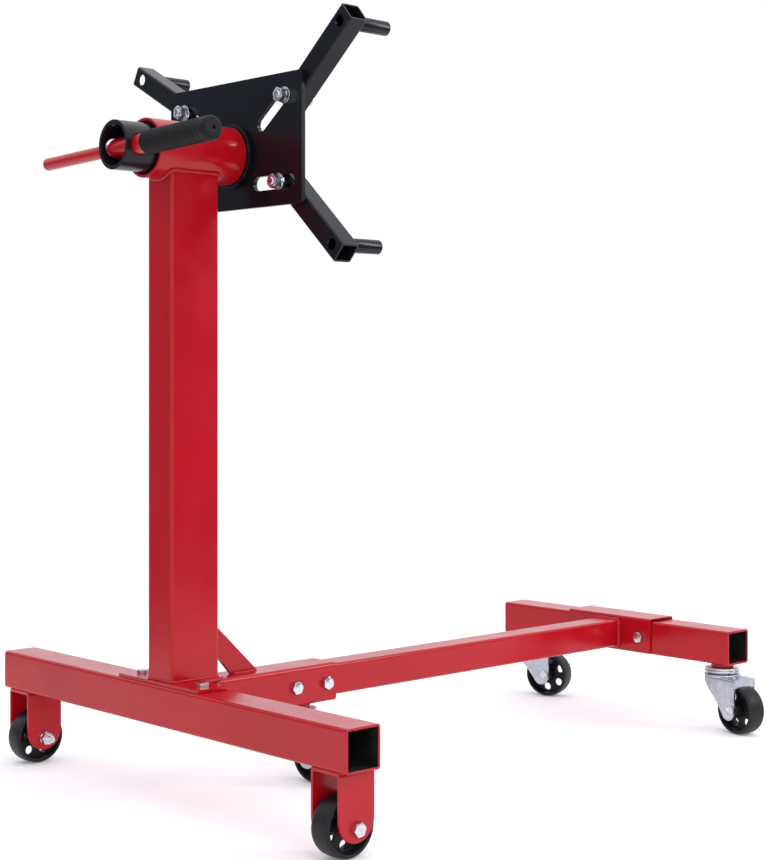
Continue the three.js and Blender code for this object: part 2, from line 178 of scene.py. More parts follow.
RED = paint("red_powder_coat", (0.36, 0.002, 0.007), (0.42, 0.003, 0.010),
            rough_low=0.16, rough_high=0.26, peel=0.03, ior=1.4)
BLACK = paint("black_paint", (0.003, 0.004, 0.006), (0.005, 0.006, 0.009),
              rough_low=0.18, rough_high=0.26, peel=0.012, ior=1.34)
ZINC = metal("zinc_plate", (0.52, 0.53, 0.56), (0.78, 0.79, 0.82),
             rough_low=0.16, rough_high=0.34, grain_scale=60, grain=0.10)
GALV = metal("galvanised_sheet", (0.36, 0.38, 0.43), (0.60, 0.62, 0.68),
             rough_low=0.22, rough_high=0.42, grain_scale=45, grain=0.18)
WHEEL = polymer("wheel_polymer", (0.006, 0.006, 0.007), (0.014, 0.014, 0.016),
                rough_low=0.34, rough_high=0.48, grain_scale=420, grain=0.10)
GRIP = polymer("grip_rubber", (0.003, 0.003, 0.004), (0.007, 0.007, 0.008),
               rough_low=0.42, rough_high=0.68, grain_scale=700, grain=0.22)
# Inside faces of the tubes: unpainted steel, made near-black as painted shade for the unlit inside
# of the tubes.
BARE_STEEL_SHADE = polymer("bare_steel_painted_shade", (0.006, 0.005, 0.005), (0.020, 0.017, 0.016),
               rough_low=0.55, rough_high=0.75, grain_scale=90, grain=0.15)

# ------------------------------------------------------------------ sizes
# In millimetres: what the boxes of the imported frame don't give.
BEAM_WALL = 3
BEAM_CORNER = 4
SOCKET_WALL = 2.5
SOCKET_CORNER = 5
LEG_WALL = 3
LEG_CORNER = 4
POST_WALL = 3
POST_CORNER = 4
SADDLE_SHEET = 2.5
SADDLE_BEND = 4
STEM_HALF = 28  # half the width of the base plate's stem
STEM_START = 25  # Y where the stem leaves the base plate's bar
BASE_BOLT_Y = 1
BASE_HOLE_R = 5.6
BOLT_TAIL = 13  # how far a bolt reaches past the sheet that its nut bears on
AXLE_TAIL = 19
HOUSING_BORE_R = 32.5
BRACKET_SHEET = 3.5
BRACKET_BEND = 5
FORK_SHEET = 3
FORK_BEND = 4.5
FORK_HALF = 21.5  # half the width over both cheeks
FORK_NOSE = 45.8  # swivel axis to the front edge of the cheeks
FORK_TRAIL = 38  # swivel axis to the wheel's axle
FORK_EAR_R = 12.8  # round lower end of each cheek
FORK_EAR_Z = 33
RACE_SIDES = 24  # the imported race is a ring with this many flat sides
BOSS_R = 16.5
HUB_HALF = 17.7  # half widths of the wheel's hub, web and tread
WEB_HALF = 2
TREAD_HALF = 15
WHEEL_HOLES = 6
WHEEL_HOLE_R = 5.8
WHEEL_HOLE_CIRCLE = 21.5
TUBE_R = 30  # turning tube
TUBE_WALL = 4
COLLAR_R = 40
SLOT_HALF = 8.75  # half the width of the head plate's slots
ARM = 27
ARM_WALL = 2.5
ARM_CORNER = 3
ARM_TAIL = 15  # how far an arm reaches behind its bolt
ARM_REACH = 122  # bolt to finger
ARM_TIP = 16  # finger to the arm's end
ARM_BOLT_R = 5
ARM_BOLT_FLATS = 16
FINGER_R = 9
FINGER_BORE_R = 6.2
FINGER_SEAT_R = 7.5  # hole in an arm's rear wall
THIN_HOLE_R = 11.3  # holes in the turning tube, for the handle's bar and for its sleeve
THIN_HOLE_RISE = 1.8
WIDE_HOLE_R = 13
BAR_R = 8
BAR_END = 175
SLEEVE_R = 12
SLEEVE_START = -20.8
GRIP_START = 47
GRIP_R = 14.6
RIB_PITCH = 3.4
RIBS = 31
# Degrees that each wheel has rolled
WHEEL_TURNS = {"rear_right": 29, "rear_left": 60,
               "front_right": -7, "front_left": -24, "centre": -7}


# ------------------------------------------------------------------ mesh tools
def to_mesh(verts, faces):
    mesh = bpy.data.meshes.new("part")
    mesh.from_pydata([tuple(v) for v in verts], [], faces)
    bm = bmesh.new()
    bm.from_mesh(mesh)
    bmesh.ops.remove_doubles(bm, verts=bm.verts, dist=0.002)
    bmesh.ops.recalc_face_normals(bm, faces=bm.faces)
    bm.to_mesh(mesh)
    bm.free()
    return mesh


def arc(cx, cy, radius, start, end, steps):
    """Points of an arc from start to end degrees, both ends included."""
    points = []
    for i in range(steps + 1):
        t = math.radians(start + (end - start) * i / steps)
        points.append((cx + radius * math.cos(t), cy + radius * math.sin(t)))
    return points


def circle(radius, steps, cx=0.0, cy=0.0):
    return arc(cx, cy, radius, 0, 360, steps)[:-1]


def rounded_rect(width, height, radius, steps=6):
    w, h = width / 2 - radius, height / 2 - radius
    return (
        arc(w, h, radius, 0, 90, steps)
        + arc(-w, h, radius, 90, 180, steps)
        + arc(-w, -h, radius, 180, 270, steps)
        + arc(w, -h, radius, 270, 360, steps)
    )


def rounded(points, radius, steps=4, closed=True):
    """A polyline with each real corner replaced by an arc of at most the given radius."""
    out = []
    count = len(points)
    for i, p in enumerate(points):
        if not closed and i in (0, count - 1):
            out.append(tuple(p))
            continue
        here = Vector(p)
        back = Vector(points[i - 1]) - here
        ahead = Vector(points[(i + 1) % count]) - here
        turn = back.angle(ahead, math.pi)
        if turn > math.radians(165):
            out.append(tuple(p))
            continue
        reach = min(radius / math.tan(turn / 2), back.length * 0.45, ahead.length * 0.45)
        a = here + back.normalized() * reach
        b = here + ahead.normalized() * reach
        for k in range(steps + 1):
            t = k / steps
            q = a * (1 - t) ** 2 + here * 2 * t * (1 - t) + b * t**2
            out.append(tuple(q))
    return out


def lathe(profile, segments=48):
    """Solid of revolution about Z from (radius, z) points: closed loop, or ends on the axis."""
    verts, rings = [], []
    for r, z in profile:
        if r < 1e-6:
            rings.append([len(verts)])
            verts.append((0, 0, z))
            continue
        start = len(verts)
        for i in range(segments):
            t = 2 * math.pi * i / segments
            verts.append((r * math.cos(t), r * math.sin(t), z))
        rings.append(list(range(start, start + segments)))
    on_axis = len(rings[0]) == 1
    pairs = list(zip(rings, rings[1:]))
    if not on_axis:
        pairs.append((rings[-1], rings[0]))
    faces = []
    for a, b in pairs:
        for i in range(segments):
            j = (i + 1) % segments
            if len(a) == 1:
                faces.append((a[0], b[j], b[i]))
            elif len(b) == 1:
                faces.append((a[i], a[j], b[0]))
            else:
                faces.append((a[i], a[j], b[j], b[i]))
    return to_mesh(verts, faces)


def rod(radius, z0, z1, round_by=0.6, segments=48):
    """Solid cylinder along Z with rounded rims."""
    loop = [(0, z0), (radius, z0), (radius, z1), (0, z1)]
    return lathe(rounded(loop, round_by, closed=False), segments)


def pipe(outer, inner, z0, z1, round_by=0.5, segments=64):
    """Hollow cylinder along Z with rounded rims."""
    return lathe(rounded([(inner, z0), (outer, z0), (outer, z1), (inner, z1)], round_by), segments)


def prism(loops, z0, z1):
    """Flat outline with holes, pushed from z0 to z1. The first loop is the outside."""
    bm = bmesh.new()
    rims = []
    for loop in loops:
        verts = [bm.verts.new((x, y, z0)) for x, y in loop]
        edges = [bm.edges.new((verts[i], verts[(i + 1) % len(verts)])) for i in range(len(verts))]
        rims.append((verts, edges))
    edges = [e for _, rim in rims for e in rim]
    bmesh.ops.triangle_fill(bm, use_beauty=True, use_dissolve=False, edges=edges)
    low = list(bm.faces)
    made = bmesh.ops.extrude_face_region(bm, geom=low)
    top = [v for v in made["geom"] if isinstance(v, bmesh.types.BMVert)]
    bmesh.ops.translate(bm, verts=top, vec=(0, 0, z1 - z0))
    bmesh.ops.recalc_face_normals(bm, faces=bm.faces)
    mesh = bpy.data.meshes.new("prism")
    bm.to_mesh(mesh)
    bm.free()
    return mesh


def moved(mesh, matrix):
    """A copy of the mesh, moved; a mirroring matrix keeps its faces pointing out."""
    copy = mesh.copy()
    copy.transform(matrix)
    if matrix.determinant() < 0:
        copy.flip_normals()
    return copy


def joined(*meshes):
    bm = bmesh.new()
    for mesh in meshes:
        bm.from_mesh(mesh)
    out = bpy.data.meshes.new("joined")
    bm.to_mesh(out)
    bm.free()
    return out


def boolean(mesh, cutter, operation="DIFFERENCE"):
    a = bpy.data.objects.new("a", mesh)
    b = bpy.data.objects.new("b", cutter)
    for o in (a, b):
        bpy.context.scene.collection.objects.link(o)
    modifier = a.modifiers.new("cut", "BOOLEAN")
    modifier.operation = operation
    modifier.solver = "EXACT"
    modifier.use_self = False
    modifier.object = b
    graph = bpy.context.evaluated_depsgraph_get()
    out = bpy.data.meshes.new_from_object(a.evaluated_get(graph))
    bpy.data.objects.remove(a)
    bpy.data.objects.remove(b)
    out.materials.clear()
    return out


def turn(axis, degrees):
    return Matrix.Rotation(math.radians(degrees), 4, axis)


def shift(x, y, z):
    return Matrix.Translation((x, y, z))


ALONG_X = turn("Y", 90)  # a shape built up along Z lies along X
ALONG_Y = turn("X", -90)  # and along Y
# An outline drawn in (Y, Z) and pushed along Z becomes one pushed along X
YZ_TO_PLANE = Matrix(((0, 0, 1, 0), (1, 0, 0, 0), (0, 1, 0, 0), (0, 0, 0, 1)))


def place(name, mesh, material, body, nodes=(), matrix=Matrix.Identity(4), bevel=0.0, crisp=32,
          inside_shade=None):
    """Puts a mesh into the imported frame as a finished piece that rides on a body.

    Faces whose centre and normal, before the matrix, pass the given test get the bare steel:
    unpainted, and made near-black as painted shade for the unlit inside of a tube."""
    data = mesh.copy()
    data.materials.clear()
    data.materials.append(material)
    if inside_shade:
        # Second material for the inside faces: bare steel, near-black as painted shade.
        data.materials.append(BARE_STEEL_SHADE)
    for polygon in data.polygons:
        polygon.use_smooth = True
        polygon.material_index = int(bool(inside_shade and inside_shade(polygon.center, polygon.normal)))
    data = moved(data, matrix)
    data.transform(TO_FRAME)
    data.name = name
    data.set_sharp_from_angle(angle=math.radians(crisp))
    piece = bpy.data.objects.new(name, data)
    bpy.context.scene.collection.objects.link(piece)
    if bevel:
        edge = piece.modifiers.new("edges", "BEVEL")
        edge.width = bevel * MM
        edge.segments = 3
        edge.limit_method = "ANGLE"
        edge.angle_limit = math.radians(35)
        edge.miter_outer = "MITER_ARC"
        weighted = piece.modifiers.new("shading", "WEIGHTED_NORMAL")
        weighted.keep_sharp = False
        weighted.weight = 80
    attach(piece, body)
    if nodes:
        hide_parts(*nodes)
    return piece


def inside_tube(width, height, wall):
    """Test for the inner faces of a square tube that runs along Z."""
    half_w, half_h = width / 2 - wall + 0.05, height / 2 - wall + 0.05
    return lambda c, n: abs(c.x) < half_w and abs(c.y) < half_h and abs(n.z) < 0.5


def square_tube(width, height, wall, corner, length):
    """Hollow section along Z from 0 to length, open at both ends."""
    inner = rounded_rect(width - 2 * wall, height - 2 * wall, max(corner - wall, 1.0))
    return prism([rounded_rect(width, height, corner), inner], 0, length)


# ------------------------------------------------------------------ weld beads
def resample(points, step, closed):
    """Points at even distances of about one step along a polyline."""
    pts = [Vector(p) for p in points]
    if closed:
        pts.append(pts[0])
    lengths = [0.0]
    for a, b in zip(pts, pts[1:]):
        lengths.append(lengths[-1] + (b - a).length)
    count = max(8, round(lengths[-1] / step))
    out, k = [], 0
    for i in range(count if closed else count + 1):
        s = lengths[-1] * i / count
        while k < len(pts) - 2 and lengths[k + 1] < s:
            k += 1
        span = lengths[k + 1] - lengths[k]
        out.append(pts[k].lerp(pts[k + 1], (s - lengths[k]) / span if span else 0))
    return out


def bead(points, radius, closed=True, ripple=3.2):
    """Weld seam along a path: overlapping scales of a slightly wandering size."""
    path = resample(points, 0.8, closed)
    count, sides = len(path), 10
    verts, faces = [], []
    normal = None
    travelled = 0.0
    for i, p in enumerate(path):
        back = path[i - 1] if closed or i else p
        ahead = path[(i + 1) % count] if closed or i < count - 1 else p
        tangent = (ahead - back).normalized()
        if normal is None:
            normal = tangent.orthogonal().normalized()
        normal = (normal - tangent * normal.dot(tangent)).normalized()
        binormal = tangent.cross(normal)
        travelled += (ahead - p).length
        phase = (travelled / ripple) % 1
        scale = 0.84 + 0.18 * math.sqrt(max(0.0, 1 - (2 * phase - 1) ** 2))
        scale *= 1 + 0.07 * math.sin(travelled * 0.23) + 0.04 * math.sin(travelled * 0.71 + 1)
        if not closed and i in (0, count - 1):
            scale *= 0.4
        for k in range(sides):
            t = 2 * math.pi * k / sides
            verts.append(p + (normal * math.cos(t) + binormal * math.sin(t)) * radius * scale)
    for i in range(count if closed else count - 1):
        a, b = i * sides, (i + 1) % count * sides
        # The frame may come round turned by some steps; join each vertex to its nearest one.
        twist = 0
        if closed and i == count - 1:
            twist = min(range(sides), key=lambda s: (verts[a] - verts[b + s]).length)
        for k in range(sides):
            n = (k + 1) % sides
            faces.append(
                (a + k, a + n, b + (n + twist) % sides, b + (k + twist) % sides)
            )
    if not closed:
        faces.append(tuple(range(sides)))
        faces.append(tuple(reversed(range((count - 1) * sides, count * sides))))
    return to_mesh(verts, faces)


def outline_path(loop, matrix):
    """A flat outline as points in space."""
    return [matrix @ Vector((x, y, 0)) for x, y in loop]



# ------------------------------------------------------------------ fasteners
def hex_block(flats, z0, z1, chamfer_low, chamfer_high):
    """Hexagon across the given flats, with its corners turned off at the chosen ends."""
    corner = flats / math.sqrt(3)
    block = prism([arc(0, 0, corner, 0, 360, 6)[:-1]], z0, z1)
    edge = flats / 2 * 0.97
    drop = (corner - edge) * 0.6
    if chamfer_low:
        profile = [(0, z0), (edge, z0), (corner + 0.5, z0 + drop)]
    else:
        profile = [(0, z0 - 1), (corner + 0.5, z0 - 1)]
    if chamfer_high:
        profile += [(corner + 0.5, z1 - drop), (edge, z1), (0, z1)]
    else:
        profile += [(corner + 0.5, z1 + 1), (0, z1 + 1)]
    return boolean(block, lathe(profile, 48), "INTERSECT")


def thread(radius, z0, z1):
    """Threaded rod with a true helix, closed at both ends, its z1 end tapered."""
    pitch, depth, taper = 1.5, 0.55, 1.6
    segments, per_pitch = 32, 6
    steps = max(4, round((z1 - z0) / pitch * per_pitch))
    verts = [(0, 0, z0)]
    for j in range(steps + 1):
        z = z0 + (z1 - z0) * j / steps
        ends = min(1.0, (z1 - z) / taper)
        for i in range(segments):
            t = 2 * math.pi * i / segments
            phase = ((z - z0) / pitch - i / segments) % 1
            r = radius - depth * (1 - abs(2 * phase - 1)) - (1 - ends) * 0.9
            verts.append((r * math.cos(t), r * math.sin(t), z))
    verts.append((0, 0, z1))
    faces = []
    for i in range(segments):
        n = (i + 1) % segments
        faces.append((0, 1 + n, 1 + i))
        for j in range(steps):
            a, b = 1 + j * segments, 1 + (j + 1) * segments
            faces.append((a + i, a + n, b + n, b + i))
        last = 1 + steps * segments
        faces.append((last + i, last + n, len(verts) - 1))
    return to_mesh(verts, faces)


def flip_z(mesh):
    return moved(mesh, turn("X", 180))


def washer(outer, inner, z0, z1):
    return pipe(outer, inner, z0, z1, 0.35, 40)


def spring_washer(outer, inner, z0, z1):
    """Split lock washer: one turn of square wire with a slanted gap."""
    sides, steps = [(inner, 0), (outer, 0), (outer, 1), (inner, 1)], 40
    rise = (z1 - z0) * 0.35
    height = z1 - z0 - rise
    verts, faces = [], []
    for i in range(steps + 1):
        t = math.radians(6 + 348 * i / steps)
        base = z0 + rise * i / steps
        for r, up in sides:
            verts.append((r * math.cos(t), r * math.sin(t), base + height * up))
    for i in range(steps):
        a, b = i * 4, i * 4 + 4
        for k in range(4):
            n = (k + 1) % 4
            faces.append((a + k, a + n, b + n, b + k))
    faces.append((3, 2, 1, 0))
    faces.append(tuple(steps * 4 + k for k in range(4)))
    return to_mesh(verts, faces)


def through_bolt(top, bottom, tail, radius=5, flats=15, height=6.4):
    """Hex bolt along Z: head above top, nut below bottom, thread showing past the nut."""
    return joined(
        hex_block(flats, top + 0.3, top + height, False, True),
        rod(radius, bottom - 2, top + 1, 0.1, 24),
        washer(flats * 0.55, radius + 0.3, bottom - 1.8, bottom - 0.3),
        hex_block(flats, bottom - 9, bottom - 1.8, True, False),
        flip_z(thread(radius, 2 - bottom, tail - bottom)),
    )


# ------------------------------------------------------------------ base frame
for beam in ("rear_beam", "front_beam"):
    low, high = local_box(beam)
    size = high - low
    tube = square_tube(size.z, size.y, BEAM_WALL, BEAM_CORNER, size.x)
    at = shift(low.x, (low.y + high.y) / 2, (low.z + high.z) / 2) @ ALONG_X
    place(f"{beam}_tube", tube, RED, "frame", [beam], at, bevel=0.5,
          inside_shade=inside_tube(size.z, size.y, BEAM_WALL))

for member, wall, corner in (("leg_socket", SOCKET_WALL, SOCKET_CORNER),
                             ("centre_leg", LEG_WALL, LEG_CORNER)):
    low, high = local_box(member)
    size = high - low
    tube = square_tube(size.x, size.z, wall, corner, size.y)
    at = shift(0, low.y, (low.z + high.z) / 2) @ ALONG_Y
    place(f"{member}_tube", tube, RED, "frame", [member], at, bevel=0.4,
          inside_shade=inside_tube(size.x, size.z, wall))

# Channel over the short beam, bent from sheet.
saddle_low, saddle_high = local_box("front_saddle")
saddle_half = (saddle_high.y - saddle_low.y) / 2
saddle_mid = (saddle_low.y + saddle_high.y) / 2
inner_half, inner_top = saddle_half - SADDLE_SHEET, saddle_high.z - SADDLE_SHEET
channel = [(-saddle_half, saddle_low.z), (-saddle_half, saddle_high.z),
           (saddle_half, saddle_high.z), (saddle_half, saddle_low.z)]
inside = [(inner_half, saddle_low.z), (inner_half, inner_top),
          (-inner_half, inner_top), (-inner_half, saddle_low.z)]
bends = rounded(channel, SADDLE_BEND, 6, closed=False) + rounded(inside, 1.6, 4, closed=False)
saddle = prism([bends], saddle_low.x, saddle_high.x)
place("front_saddle_channel", saddle, RED, "frame", ["front_saddle"],
      shift(0, saddle_mid, 0) @ YZ_TO_PLANE, bevel=0.35)

# T-shaped plate under the post.
low, high = local_box("post_base_plate")
tee = [(low.x, low.y), (high.x, low.y), (high.x, STEM_START), (STEM_HALF, STEM_START),
       (STEM_HALF, high.y), (-STEM_HALF, high.y), (-STEM_HALF, STEM_START), (low.x, STEM_START)]
bolt_low, bolt_high = local_box("base_bolt_right")
bolts_x = (bolt_low.x + bolt_high.x) / 2
holes = [circle(BASE_HOLE_R, 24, side * bolts_x, BASE_BOLT_Y) for side in (-1, 1)]
plate = prism([rounded(tee, 2, 4)] + holes, low.z, high.z)
place("post_base_tee", plate, RED, "frame", ["post_base_plate"], bevel=0.5)
base_top = high.z

# ------------------------------------------------------------------ post and housing
AXIS_Z = joint_place("head_turn").z
house_low, house_high = local_box("head_housing")
HOUSE_R = (house_high.x - house_low.x) / 2
low, high = local_box("post")
size = high - low
post_centre = (low.y + high.y) / 2
post = moved(square_tube(size.x, size.y, POST_WALL, POST_CORNER, AXIS_Z - low.z),
             shift(0, post_centre, low.z))
cope = moved(rod(HOUSE_R + 0.1, -300, 300, 0.1, 96), shift(0, 0, AXIS_Z) @ ALONG_Y)
post_bore = inside_tube(size.x, size.y, POST_WALL)
place("post_tube", boolean(post, cope), RED, "frame", ["post"], bevel=0.35,
      inside_shade=lambda c, n: post_bore(c - Vector((0, post_centre, 0)), n))
post_outline = rounded_rect(size.x, size.y, POST_CORNER, 8)

housing = pipe(HOUSE_R, HOUSING_BORE_R, house_low.y, house_high.y, 0.9, 96)
place("head_housing_pipe", housing, RED, "frame", ["head_housing"],
      shift(0, 0, AXIS_Z) @ ALONG_Y)

low, high = local_box("post_brace")
brace_loop = [(low.y, high.z), (low.y, high.z - 34), (low.y + 36.2, low.z), (high.y, low.z)]
brace = prism([rounded(brace_loop, 1.5, 3)], low.x, high.x)
place("post_brace_bar", brace, RED, "frame", ["post_brace"], YZ_TO_PLANE, bevel=0.6)

# ------------------------------------------------------------------ welds of the frame
cope_path = []
for p in resample([(x, y, 0) for x, y in post_outline], 1.5, True):
    drop = math.sqrt(HOUSE_R**2 - p.x**2)
    cope_path.append((p.x * 1.03, post_centre + p.y * 1.02, AXIS_Z - drop - 0.4))
foot = outline_path(post_outline, shift(0, post_centre, base_top + 0.9))
socket_low, socket_high = local_box("leg_socket")
socket_mid = (socket_low.z + socket_high.z) / 2
socket_size = socket_high.z - socket_low.z
socket_ring = outline_path(rounded_rect(socket_size, socket_size, SOCKET_CORNER),
                           shift(0, socket_low.y + 0.4, socket_mid) @ turn("X", 90))
leg_low, leg_high = local_box("centre_leg")
leg_size = leg_high.z - leg_low.z
leg_mid = (leg_low.z + leg_high.z) / 2
leg_ring = outline_path(rounded_rect(leg_size, leg_size, LEG_CORNER),
                        shift(0, leg_high.y - 0.6, leg_mid) @ turn("X", 90))
seams = {
    "weld_housing": bead(cope_path, 2.6),
    "weld_post_foot": bead(foot, 1.7),
    "weld_socket": bead(socket_ring, 1.9),
    "weld_leg_end": bead(leg_ring, 3.0),
}
brace_low, brace_high = local_box("post_brace")
for side, sign in (("right", 1), ("left", -1)):
    x = sign * 3.2  # just proud of the brace's side
    up = [(x, brace_low.y, brace_high.z - 32), (x, brace_low.y, brace_high.z - 2)]
    along = [(x, brace_low.y + 39, brace_low.z), (x, brace_high.y - 2, brace_low.z)]
    seams[f"weld_brace_post_{side}"] = bead(up, 1.7, closed=False)
    seams[f"weld_brace_foot_{side}"] = bead(along, 1.7, closed=False)
    edge = sign * (STEM_HALF + 0.2)
    stem_run = [(edge, 27, base_top - 3.2), (edge, 57, base_top - 3.2)]
    seams[f"weld_stem_{side}"] = bead(stem_run, 1.6, closed=False)
for name, mesh in seams.items():
    place(name, mesh, RED, "frame", crisp=80)

# ------------------------------------------------------------------ bolts of the frame
for side, label in ((1, "right"), (-1, "left")):
    base_bolt = through_bolt(base_top, beam_high.z - BEAM_WALL, BOLT_TAIL,
                             radius=4, flats=13, height=4.4)
    place(f"base_bolt_{label}_set", base_bolt, ZINC, "frame", [f"base_bolt_{label}"],
          shift(side * bolts_x, BASE_BOLT_Y, 0))
    bolt_low, bolt_high = local_box(f"saddle_bolt_{label}")
    mid = (bolt_low + bolt_high) / 2
    bolt = through_bolt(saddle_half, -saddle_half, BOLT_TAIL)
    place(f"saddle_bolt_{label}_set", bolt, ZINC, "frame", [f"saddle_bolt_{label}"],
          shift(mid.x, saddle_mid, mid.z) @ turn("X", 90) @ turn("Z", 12))
for i in (1, 2):
    bolt_low, bolt_high = local_box(f"leg_bolt_{i}")
    mid = (bolt_low + bolt_high) / 2
    bolt = through_bolt(socket_high.x, socket_low.x, BOLT_TAIL)
    place(f"leg_bolt_{i}_set", bolt, ZINC, "frame", [f"leg_bolt_{i}"],
          shift(0, mid.y, mid.z) @ ALONG_X @ turn("Z", 10 + 25 * i))


# ------------------------------------------------------------------ casters
def wheel_mesh(radius):
    """Moulded wheel with its axle along Y: crowned tread, dished web with holes, hub."""
    side = [(5.3, HUB_HALF), (9.3, HUB_HALF), (11.3, WEB_HALF), (28.9, WEB_HALF),
            (29.9, TREAD_HALF - 1.6), (31.4, TREAD_HALF), (33.7, TREAD_HALF - 1),
            (radius - 0.5, TREAD_HALF - 4.6), (radius, TREAD_HALF - 11)]
    profile = [(r, -y) for r, y in side] + side[::-1]
    body = lathe(rounded(profile, 1.4, 4), 96)
    for x, y in circle(WHEEL_HOLE_CIRCLE, WHEEL_HOLES):
        body = boolean(body, moved(rod(WHEEL_HOLE_R, -20, 20, 0.1, 32), shift(x, y, 0)))
    return moved(body, ALONG_Y)


WHEEL_R = joint_place("rear_roll_right").z
wheel = wheel_mesh(WHEEL_R)


def cheek_plate(outline, z_top, outer, sheet, bend):
    """Bent sheet: an upside-down U across Y, trimmed to a side outline in the XZ plane."""
    xs = [x for x, _ in outline]
    legs = [(-outer, 0), (-outer, z_top), (outer, z_top), (outer, 0)]
    inner = outer - sheet
    hollow = [(inner, 0), (inner, z_top - sheet), (-inner, z_top - sheet), (-inner, 0)]
    bends = rounded(legs, bend, 6, closed=False)
    bends += rounded(hollow, bend - sheet * 0.6, 4, closed=False)
    section = moved(prism([bends], min(xs) - 1, max(xs) + 1), YZ_TO_PLANE)
    side = moved(prism([outline], -outer - 1, outer + 1), turn("X", 90))
    return boolean(section, side, "INTERSECT")


bracket_low, bracket_high = local_box("rear_bracket_right")
depth = (bracket_high.y - bracket_low.y) / 2
bracket_outer = (bracket_high.x - bracket_low.x) / 2
bracket_side = [(-depth, bracket_high.z), (depth, bracket_high.z)]
bracket_side += reversed(arc(0, bracket_low.z + depth, depth, 180, 360, 28))
bracket = cheek_plate(bracket_side, bracket_high.z, bracket_outer, BRACKET_SHEET, BRACKET_BEND)
for side, label in ((1, "right"), (-1, "left")):
    at = joint_place(f"rear_roll_{label}")
    stand = shift(at.x, at.y, 0) @ turn("Z", -90 * side)
    place(f"rear_bracket_{label}_plate", bracket, RED, "frame", [f"rear_bracket_{label}"],
          stand, bevel=0.5)
    hub = stand @ shift(0, 0, WHEEL_R)
    axle = through_bolt(bracket_outer, -bracket_outer, AXLE_TAIL)
    place(f"rear_axle_{label}_set", axle, ZINC, "frame", [f"rear_axle_{label}"],
          hub @ ALONG_Y @ turn("Z", 8))
    place(f"rear_wheel_{label}_body", wheel, WHEEL, f"rear_roller_{label}",
          [f"rear_wheel_{label}"], hub @ turn("Y", WHEEL_TURNS[f"rear_{label}"]), bevel=0.3)
    rim = rounded_rect(2 * depth - 2, 2 * bracket_outer - 1, 2.5)
    place(f"weld_bracket_{label}", bead(outline_path(rim, shift(0, 0, bracket_high.z - 0.2)), 1.3),
          RED, "frame", matrix=stand, crisp=80)

race_low, race_high = local_box("centre_race")
race_r = (race_high.x - race_low.x) / 2 / math.cos(math.pi / RACE_SIDES)
fork_top = race_low.z - 0.3
crown_z = fork_top - FORK_SHEET
fork_side = [(-15, crown_z), (FORK_NOSE, crown_z), (FORK_NOSE, FORK_EAR_Z)]
fork_side += reversed(arc(FORK_NOSE - FORK_EAR_R, FORK_EAR_Z, FORK_EAR_R, 202, 352, 20))
fork_side += [(8, 46), (-7, 61), (-15, 72)]
cheeks = cheek_plate(fork_side, crown_z, FORK_HALF, FORK_SHEET, FORK_BEND)
skirt_z = 2 * WHEEL_R - 3
skirt_loop = rounded([(-FORK_HALF, crown_z), (FORK_HALF, crown_z),
                      (FORK_HALF, skirt_z), (-FORK_HALF, skirt_z)], 4, 5)
skirt = moved(prism([skirt_loop], FORK_NOSE - FORK_SHEET, FORK_NOSE), YZ_TO_PLANE)
cap = lathe(rounded([(0, crown_z - 2), (race_r - 1.0, crown_z - 2), (race_r, crown_z + 0.6),
                     (race_r - 0.4, fork_top - 0.9), (race_r - 2.5, fork_top), (0, fork_top)],
                    0.8, closed=False), 72)
fork = boolean(boolean(cheeks, skirt, "UNION"), cap, "UNION")

race = lathe(rounded([(0, race_low.z + 0.2), (race_r - 5, race_low.z + 0.2),
                      (race_r - 5, race_low.z + 1.2), (race_r - 1.2, race_low.z + 1.8),
                      (race_r, race_low.z + 3.2), (race_r - 0.2, race_low.z + 4.4),
                      (race_r - 3.6, race_low.z + 5), (race_r - 3.6, race_high.z - 2.9),
                      (race_r - 1.4, race_high.z - 2.3), (race_r - 1.6, race_high.z - 0.4),
                      (race_r - 5, race_high.z), (0, race_high.z)], 0.5, closed=False), 72)
boss_low, boss_high = local_box("centre_boss")
boss = rod(BOSS_R, boss_low.z, boss_high.z, 0.7, 64)
boss_ring = [(x, y, boss_high.z - 0.4) for x, y in circle(BOSS_R + 0.1, 48)]

rivet_loop = [(0, 17), (5, 17), (5, FORK_HALF + 0.3), (7.4, FORK_HALF + 0.3),
              (7.2, FORK_HALF + 2), (5.6, FORK_HALF + 3), (4.4, FORK_HALF + 2.4),
              (0, FORK_HALF + 2.2)]
rivet_end = lathe(rounded(rivet_loop, 0.6, closed=False), 40)
rivet = joined(rivet_end, flip_z(rivet_end), rod(5, -18, 18, 0.1, 32))

for label in ("front_right", "front_left", "centre"):
    pivot = joint_place(f"{label}_turn")
    axle_at = joint_place(f"{label}_roll")
    heading = math.degrees(math.atan2(axle_at.y - pivot.y, axle_at.x - pivot.x))
    stand = shift(pivot.x, pivot.y, 0) @ turn("Z", heading)
    hub = stand @ shift(FORK_TRAIL, 0, WHEEL_R)
    place(f"{label}_boss_disc", boss, RED, "frame", [f"{label}_boss"], stand)
    place(f"weld_{label}_boss", bead(boss_ring, 1.5), RED, "frame", matrix=stand, crisp=80)
    place(f"{label}_race_ring", race, ZINC, "frame", [f"{label}_race"], stand)
    place(f"{label}_fork_plate", fork, GALV, f"{label}_swivel", [f"{label}_fork"], stand,
          bevel=0.35)
    place(f"{label}_axle_rivet", rivet, ZINC, f"{label}_swivel", [f"{label}_axle"],
          hub @ ALONG_Y)
    place(f"{label}_wheel_body", wheel, WHEEL, f"{label}_roller", [f"{label}_wheel"],
          hub @ turn("Y", WHEEL_TURNS[label]), bevel=0.3)

